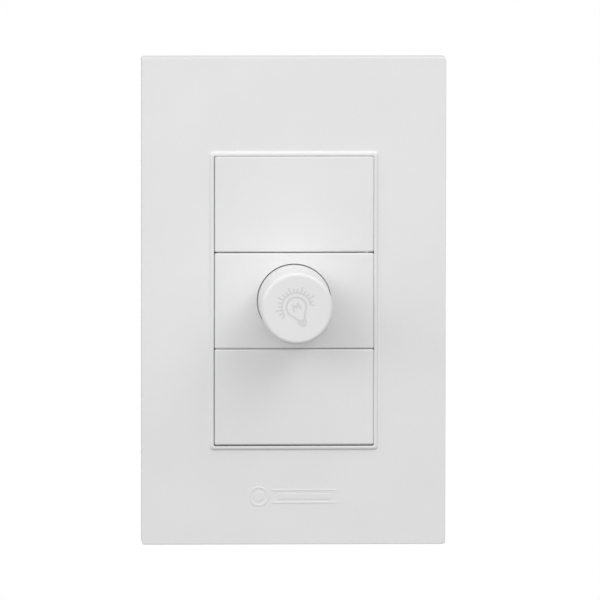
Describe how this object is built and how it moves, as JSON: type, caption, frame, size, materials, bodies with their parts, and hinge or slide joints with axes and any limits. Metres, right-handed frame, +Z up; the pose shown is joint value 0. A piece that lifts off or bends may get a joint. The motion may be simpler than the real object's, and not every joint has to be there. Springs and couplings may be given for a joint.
{
  "type": "rotary wall dimmer",
  "caption": "Rectangular wall cover plate over a modular frame with flush rectangular inserts; the middle insert carries a round push-on knob that dims the light.",
  "frame": {"origin": "on the knob's axis, at the wall's surface, within 0.2 mm of the cover plate's middle", "axes": "+Z up the wall, -Y out of the wall towards the room, +X to the right as seen from the room"},
  "size_m": [0.075, 0.059, 0.1205],
  "materials": {
    "cover_plastic": "moulded white, fine satin grain",
    "module_plastic": "moulded white, satin",
    "knob_plastic": "moulded white, satin",
    "frame_plastic": "moulded light grey, matte",
    "housing_plastic": "moulded grey, matte",
    "black_plastic": "moulded epoxy, matte",
    "phenolic_board": "laminated board",
    "circuit_laminate": "solder resist over glass laminate",
    "carbon_film": "printed resistive film",
    "ferrite": "sintered, matte",
    "capacitor_film": "moulded box, gloss",
    "capacitor_dip": "dipped lacquer, gloss",
    "resistor_coat": "lacquered ceramic",
    "fuse_body": "ceramic tube",
    "diac_glass": "glass seal, opaque",
    "zinc_steel": "zinc plated",
    "spring_steel": "spring temper",
    "brass": "turned or stamped",
    "bronze": "stamped spring strip",
    "copper": "enamelled wire",
    "aluminium": "mill finish"
  },
  "bodies": {
    "wall_unit": {"cover_plate": "cover_plastic", "support_frame": "frame_plastic", "mounting_screw_top": "zinc_steel", "mounting_screw_bottom": "zinc_steel", "blank_module_top": "module_plastic", "blank_module_bottom": "module_plastic", "dimmer_front_cap": "module_plastic", "dimmer_housing": "housing_plastic", "pot_bushing": "brass", "pot_lock_washer": "zinc_steel", "pot_nut": "zinc_steel", "pot_wafer": "phenolic_board", "pot_carbon_track": "carbon_film", "pot_can": "zinc_steel", "pot_pin_left": "zinc_steel", "pot_pin_middle": "zinc_steel", "pot_pin_right": "zinc_steel", "circuit_board": "circuit_laminate", "triac_body": "black_plastic", "triac_tab": "aluminium", "triac_leg_left": "zinc_steel", "triac_leg_middle": "zinc_steel", "triac_leg_right": "zinc_steel", "heat_sink": "aluminium", "heat_sink_screw": "zinc_steel", "choke_core": "ferrite", "choke_winding": "copper", "mains_capacitor": "capacitor_film", "timing_capacitor": "capacitor_dip", "timing_resistor": "resistor_coat", "snubber_resistor": "resistor_coat", "trigger_diac": "diac_glass", "fuse": "fuse_body", "terminal_cage_line": "brass", "terminal_screw_line": "zinc_steel", "terminal_cage_load": "brass", "terminal_screw_load": "zinc_steel"},
    "knob_rotor": {"knob": "knob_plastic", "knob_clip": "spring_steel", "pot_shaft": "aluminium", "shaft_retaining_ring": "spring_steel", "pot_rotor": "black_plastic", "pot_wiper": "bronze"}
  },
  "joints": [
    {"name": "knob_turn", "type": "hinge", "parent": "wall_unit", "child": "knob_rotor", "pos_m": [0, -0.0085, 0], "axis": [0, -1, 0], "range_deg": [-157.5, 112.5]}
  ]
}
